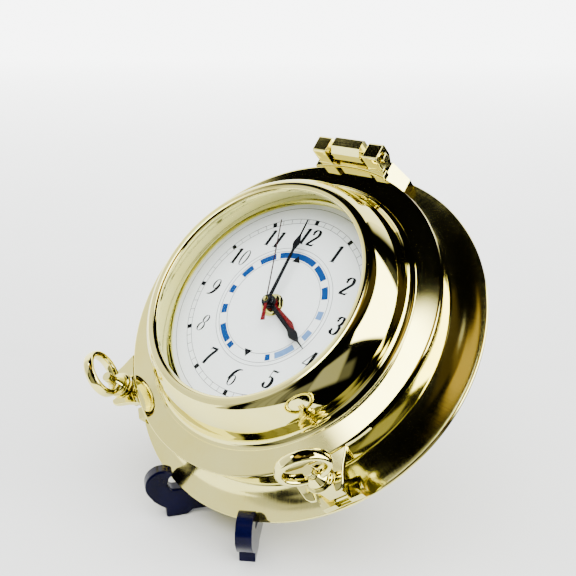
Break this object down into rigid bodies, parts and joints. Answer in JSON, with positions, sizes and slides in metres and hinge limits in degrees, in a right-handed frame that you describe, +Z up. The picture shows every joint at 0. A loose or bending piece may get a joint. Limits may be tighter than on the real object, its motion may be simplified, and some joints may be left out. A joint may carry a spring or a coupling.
{
  "type": "ships deck clock",
  "caption": "Porthole-style brass deck clock with a hinged domed bezel, ring-nut dogs, tide ring dial and a crossed-leg desk stand.",
  "frame": {"origin": "on the floor under the middle of the whole object's box", "axes": "+Z up, dial facing -Y and upwards at 45 degrees, +X towards 3 o'clock"},
  "size_m": [0.254, 0.2046, 0.2321],
  "materials": {
    "brass_satin": "polished",
    "brass_polished": "mirror polished",
    "steel": "bright",
    "rubber": "matte",
    "dial_white": "satin enamel",
    "ink_black": "printed",
    "ink_blue": "printed",
    "ink_light_blue": "printed",
    "hand_black": "gloss lacquer",
    "hand_red": "gloss lacquer",
    "glass": "clear",
    "black_plastic": "moulded",
    "white_plastic": "moulded",
    "stand_plastic": "gloss",
    "cell": "wrapped",
    "board": "lacquered",
    "copper": "enamelled wire"
  },
  "bodies": {
    "stand": {"leg_left": "stand_plastic", "leg_right": "stand_plastic"},
    "case": {"flange": "brass_satin", "drum": "brass_satin", "front_ring": "brass_satin", "dial_seat": "brass_satin", "back_cover": "brass_satin", "cover_lugs": "brass_satin", "cover_screws": "steel", "hanger_plate": "steel", "door_seal": "rubber", "dial_plate": "brass_satin", "dial_face": "dial_white", "dial_track": "ink_black", "dial_numerals": "ink_black", "tide_dark": "ink_blue", "tide_light": "ink_light_blue", "dial_sleeve": "brass_polished", "sleeve_screws": "steel", "hinge_post": "brass_polished", "hinge_pin": "brass_polished", "bracket_left": "brass_polished", "bracket_right": "brass_polished", "dog_pivots": "brass_polished", "movement_tray": "black_plastic", "movement_lid": "black_plastic", "bushing": "brass_polished", "fixing_washer": "brass_polished", "fixing_nut": "brass_polished", "battery": "cell", "battery_contacts": "steel", "circuit_board": "board", "coil": "copper", "stator": "steel"},
    "door": {"bezel": "brass_polished", "gasket": "rubber", "glass": "glass", "glass_retainer": "brass_satin", "hinge_leaf": "brass_polished", "lug_left": "brass_polished", "lug_right": "brass_polished"},
    "dog_left": {"bolt_left": "brass_polished"},
    "dog_right": {"bolt_right": "brass_polished"},
    "wing_left": {"nut_left": "brass_polished"},
    "wing_right": {"nut_right": "brass_polished"},
    "seconds": {"second_wheel": "white_plastic", "second_hand": "hand_red", "second_cap": "brass_polished"},
    "minutes": {"minute_wheel": "white_plastic", "minute_hand": "hand_black"},
    "hours": {"hour_wheel": "white_plastic", "hour_hand": "hand_black"},
    "tides": {"tide_wheel": "white_plastic", "tide_hand": "hand_red"},
    "rotor": {"rotor": "steel"},
    "reduction": {"reduction_wheel": "white_plastic"},
    "third": {"third_wheel": "white_plastic"},
    "work": {"work_wheel": "white_plastic"},
    "idler": {"tide_idler": "white_plastic"},
    "knob": {"set_knob": "black_plastic"}
  },
  "joints": [
    {"name": "lift_off", "type": "slide", "parent": "stand", "child": "case", "axis": [0, 0.7071, 0.7071], "range_m": [0, 0.2]},
    {"name": "door_hinge", "type": "hinge", "parent": "case", "child": "door", "pos_m": [0, 0.06444, 0.22265], "axis": [-1, 0, 0], "range_deg": [0, 95]},
    {"name": "dog_left_swing", "type": "hinge", "parent": "case", "child": "dog_left", "pos_m": [-0.08521, -0.05209, 0.05463], "axis": [0.7071, -0.5, -0.5], "range_deg": [0, 65]},
    {"name": "dog_right_swing", "type": "hinge", "parent": "case", "child": "dog_right", "pos_m": [0.08521, -0.05209, 0.05463], "axis": [0.7071, 0.5, 0.5], "range_deg": [0, 65]},
    {"name": "nut_left_spin", "type": "hinge", "parent": "dog_left", "child": "wing_left", "pos_m": [-0.08521, -0.07599, 0.07853], "axis": [0, -0.7071, 0.7071], "continuous": true},
    {"name": "nut_right_spin", "type": "hinge", "parent": "dog_right", "child": "wing_right", "pos_m": [0.08521, -0.07599, 0.07853], "axis": [0, -0.7071, 0.7071], "continuous": true},
    {"name": "second_spin", "type": "hinge", "parent": "case", "child": "seconds", "pos_m": [0, -0.02041, 0.14345], "axis": [0, 0.7071, -0.7071], "continuous": true},
    {"name": "minute_spin", "type": "hinge", "parent": "case", "child": "minutes", "pos_m": [0, -0.01914, 0.14218], "axis": [0, 0.7071, -0.7071], "continuous": true},
    {"name": "hour_spin", "type": "hinge", "parent": "case", "child": "hours", "pos_m": [0, -0.01779, 0.14083], "axis": [0, 0.7071, -0.7071], "continuous": true},
    {"name": "tide_spin", "type": "hinge", "parent": "case", "child": "tides", "pos_m": [0, -0.01659, 0.13963], "axis": [0, 0.7071, -0.7071], "continuous": true},
    {"name": "rotor_spin", "type": "hinge", "parent": "case", "child": "rotor", "pos_m": [0.012, -0.0062, 0.12924], "axis": [0, 0.7071, -0.7071], "continuous": true},
    {"name": "reduction_spin", "type": "hinge", "parent": "case", "child": "reduction", "pos_m": [0.00645, -0.00478, 0.12782], "axis": [0, 0.7071, -0.7071], "continuous": true},
    {"name": "third_spin", "type": "hinge", "parent": "case", "child": "third", "pos_m": [0, -0.00156, 0.13387], "axis": [0, 0.7071, -0.7071], "continuous": true},
    {"name": "work_spin", "type": "hinge", "parent": "case", "child": "work", "pos_m": [-0.00815, -0.00768, 0.13072], "axis": [0, 0.7071, -0.7071], "continuous": true},
    {"name": "idler_spin", "type": "hinge", "parent": "case", "child": "idler", "pos_m": [0, -0.00439, 0.13882], "axis": [0, 0.7071, -0.7071], "continuous": true},
    {"name": "knob_spin", "type": "hinge", "parent": "case", "child": "knob", "pos_m": [-0.0158, -0.00443, 0.12747], "axis": [0, 0.7071, -0.7071], "continuous": true}
  ],
  "couplings": [
    {"joint": "reduction_spin", "follows": "second_spin", "ratio": -6},
    {"joint": "rotor_spin", "follows": "second_spin", "ratio": 30},
    {"joint": "third_spin", "follows": "second_spin", "ratio": -0.14286},
    {"joint": "minute_spin", "follows": "second_spin", "ratio": 0.016667},
    {"joint": "work_spin", "follows": "second_spin", "ratio": -0.0055556},
    {"joint": "hour_spin", "follows": "second_spin", "ratio": 0.0013889},
    {"joint": "idler_spin", "follows": "second_spin", "ratio": -0.00080556},
    {"joint": "tide_spin", "follows": "second_spin", "ratio": 0.0013422},
    {"joint": "knob_spin", "follows": "second_spin", "ratio": 0.022222}
  ]
}
